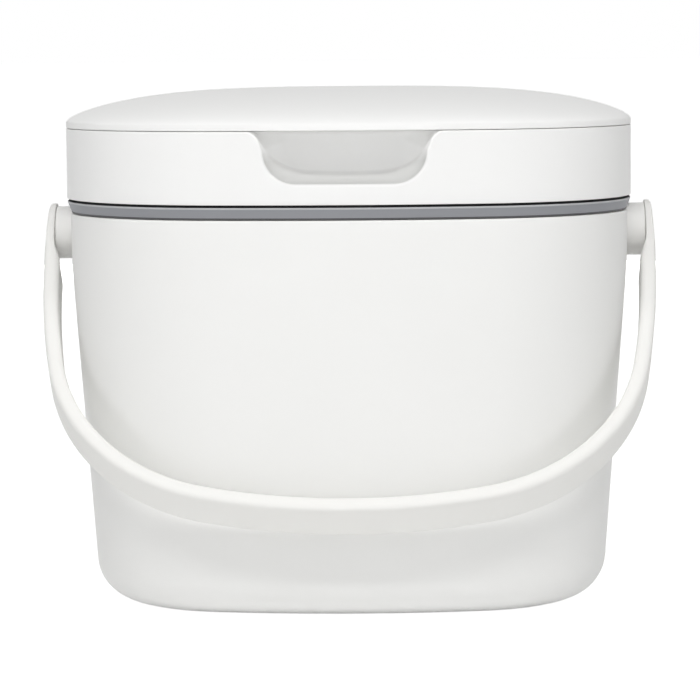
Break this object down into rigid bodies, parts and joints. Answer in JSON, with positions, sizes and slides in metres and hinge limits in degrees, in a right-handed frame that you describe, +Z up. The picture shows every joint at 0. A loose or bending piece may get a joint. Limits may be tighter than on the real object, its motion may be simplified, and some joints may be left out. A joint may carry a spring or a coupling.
{
  "type": "compost caddy",
  "caption": "Rounded countertop compost bucket with a drop strap handle, a lift-off rim frame with a finger scoop and gray seal, and a domed lid that flips up on a rear hinge.",
  "frame": {"origin": "centre of the flat base, on the surface that the caddy stands on", "axes": "+Z up, -Y to the front where the finger scoop is, +X to the right seen from the front, along the handle's pivot axis"},
  "size_m": [0.259, 0.2284, 0.2138],
  "materials": {
    "body_white": "semi-gloss moulded white plastic",
    "lid_white": "semi-gloss moulded white plastic",
    "handle_white": "semi-gloss moulded warm white plastic",
    "inner_white": "smooth white plastic",
    "bush_white": "plain natural acetal",
    "seal_gray": "soft gray elastomer",
    "pin_steel": "plain steel"
  },
  "bodies": {
    "bucket": {"bucket": "body_white", "hub_bush_left": "bush_white", "hub_bush_right": "bush_white"},
    "handle": {"handle": "handle_white", "pivot_pin_left": "bush_white", "pivot_pin_right": "bush_white"},
    "lid_frame": {"frame_ring": "lid_white", "frame_collar": "inner_white", "rim_seal": "seal_gray", "hinge_bush_left": "bush_white", "hinge_bush_right": "bush_white"},
    "flip_lid": {"lid_dome": "lid_white", "lid_pan": "inner_white", "lid_seal": "seal_gray", "hinge_pin": "pin_steel"}
  },
  "joints": [
    {"name": "handle_swing", "type": "hinge", "parent": "bucket", "child": "handle", "pos_m": [0, 0, 0.1522], "axis": [-1, 0, 0], "range_deg": [0, 270]},
    {"name": "frame_lift", "type": "slide", "parent": "bucket", "child": "lid_frame", "axis": [0, 0, 1], "range_m": [0, 0.06]},
    {"name": "lid_flip", "type": "hinge", "parent": "lid_frame", "child": "flip_lid", "pos_m": [0, 0.1091, 0.1956], "axis": [-1, 0, 0], "range_deg": [0, 105]}
  ]
}
